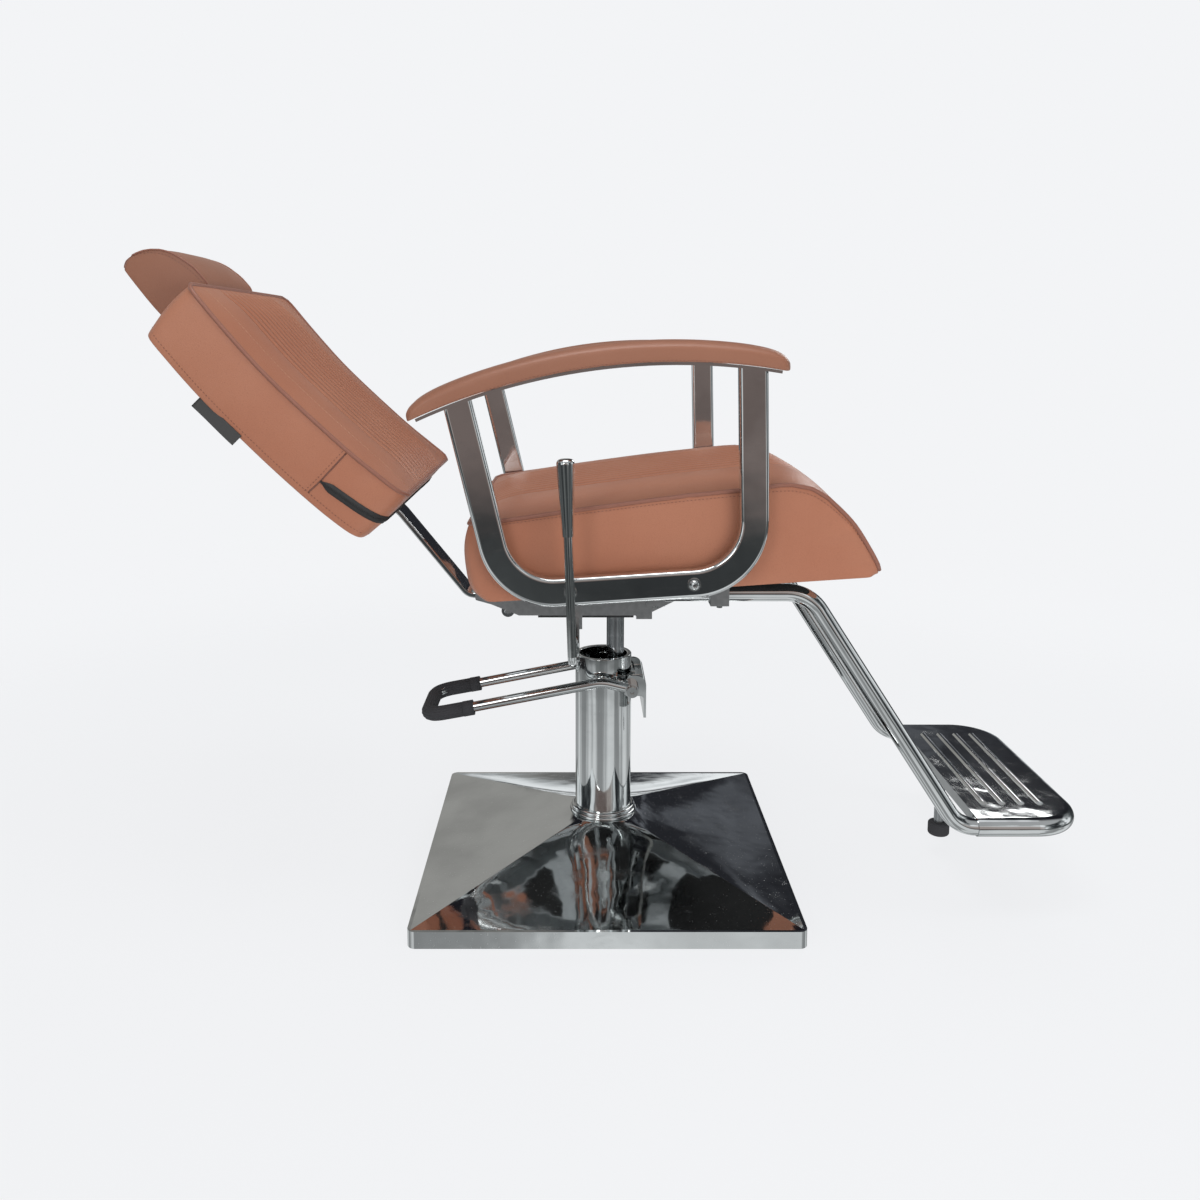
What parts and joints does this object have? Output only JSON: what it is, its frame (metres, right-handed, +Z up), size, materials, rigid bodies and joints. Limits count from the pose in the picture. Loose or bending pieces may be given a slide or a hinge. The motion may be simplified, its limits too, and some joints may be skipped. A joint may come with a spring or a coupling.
{
  "type": "hydraulic barber chair",
  "caption": "Padded reclining chair on a foot-pumped lift column with a square weighted base, loop armrests, headrest and fixed footrest.",
  "frame": {"origin": "centre of the square base, on the floor, on the column's axis", "axes": "+Z up; +X forward, the way a sitter faces and the footrest points; +Y to the sitter's left"},
  "size_m": [1.4041, 0.6597, 0.9736],
  "materials": {
    "chrome": "polished chrome plate",
    "ground_steel": "ground and hard plated",
    "zinc_steel": "zinc plated",
    "fasteners": "bright zinc",
    "black_paint": "satin black",
    "upholstery": "brown leather-grained cover over foam",
    "plywood": "plain plywood",
    "grip_rubber": "ribbed black rubber",
    "zip_black": "black zip tape",
    "label_black": "plain black label"
  },
  "bodies": {
    "base": {"base_cover": "chrome", "base_plate": "black_paint", "pump_flange": "black_paint", "base_bolts": "fasteners", "base_ring": "chrome", "column_cover": "chrome", "column_collar": "chrome", "pump_body": "black_paint", "ram_cylinder": "black_paint", "ram_gland": "black_paint", "plunger_barrel": "black_paint", "plunger_spring": "zinc_steel", "pedal_pivot_bolts": "fasteners"},
    "plunger": {"pump_plunger": "ground_steel"},
    "pedal": {"pedal_yoke": "chrome", "pedal_bar": "chrome", "pedal_grip": "grip_rubber"},
    "ram": {"ram": "ground_steel", "ram_piston": "ground_steel", "piston_seal": "grip_rubber", "swivel_bearing": "zinc_steel"},
    "seat": {"seat_hub": "zinc_steel", "hub_bolts": "fasteners", "seat_chassis": "zinc_steel", "cross_beams": "zinc_steel", "seat_board": "plywood", "seat_cushion": "upholstery", "seat_screws": "fasteners", "side_frame_right": "chrome", "side_frame_left": "chrome", "arm_strip_right": "chrome", "arm_strip_left": "chrome", "arm_pad_right": "upholstery", "arm_pad_left": "upholstery", "arm_pad_screws": "fasteners", "side_frame_bolts": "fasteners", "side_frame_washers": "fasteners", "footrest_frame": "chrome", "footrest_plate": "chrome", "footrest_brace": "zinc_steel", "footrest_foot": "grip_rubber", "footrest_clamps": "zinc_steel", "footrest_clamp_bolts": "fasteners", "back_hinge_pin": "zinc_steel"},
    "back": {"back_bar": "chrome", "back_board": "plywood", "back_cushion": "upholstery", "back_zip": "zip_black", "back_label": "label_black", "back_bar_screws": "fasteners", "back_crank": "zinc_steel", "headrest_sockets": "fasteners"},
    "headrest": {"headrest_stems": "ground_steel", "headrest_board": "plywood", "headrest_cushion": "upholstery"},
    "gas_cylinder": {"gas_cylinder": "black_paint"},
    "gas_rod": {"gas_rod": "ground_steel"},
    "lever": {"recline_lever": "chrome", "lever_knob": "chrome", "release_cam": "black_paint"}
  },
  "joints": [
    {"name": "ram_lift", "type": "slide", "parent": "base", "child": "ram", "axis": [0, 0, 1], "range_m": [-0.03, 0.12]},
    {"name": "seat_swivel", "type": "hinge", "parent": "ram", "child": "seat", "pos_m": [0.019, 0, 0.42], "axis": [0, 0, 1], "continuous": true},
    {"name": "back_recline", "type": "hinge", "parent": "seat", "child": "back", "pos_m": [-0.15, 0, 0.468], "axis": [0, 1, 0], "range_deg": [0, 32]},
    {"name": "headrest_slide", "type": "slide", "parent": "back", "child": "headrest", "axis": [-0.712, 0, 0.7022], "range_m": [0, 0.07]},
    {"name": "pedal_press", "type": "hinge", "parent": "base", "child": "pedal", "pos_m": [0.043, 0, 0.3], "axis": [0, -1, 0], "range_deg": [0, 18], "stiffness_Nm_per_rad": 20, "springref_deg": -28.65},
    {"name": "plunger_stroke", "type": "slide", "parent": "base", "child": "plunger", "axis": [0, 0, -1], "range_m": [0, 0.022], "deforming": ["plunger_spring"]},
    {"name": "gas_swing", "type": "hinge", "parent": "seat", "child": "gas_cylinder", "pos_m": [0.06, -0.072, 0.431], "axis": [0, 1, 0], "range_deg": [0, 2]},
    {"name": "gas_stroke", "type": "slide", "parent": "gas_cylinder", "child": "gas_rod", "axis": [-1, 0, 0], "range_m": [0, 0.022]},
    {"name": "lever_pull", "type": "hinge", "parent": "seat", "child": "lever", "pos_m": [-0.045, 0, 0.447], "axis": [0, -1, 0], "range_deg": [0, 15], "stiffness_Nm_per_rad": 3, "springref_deg": -22.92}
  ],
  "couplings": [
    {"joint": "plunger_stroke", "follows": "pedal_press", "m_per_rad": 0.067},
    {"joint": "gas_swing", "follows": "back_recline", "ratio": 0.03584},
    {"joint": "gas_stroke", "follows": "back_recline", "m_per_rad": 0.03573}
  ]
}
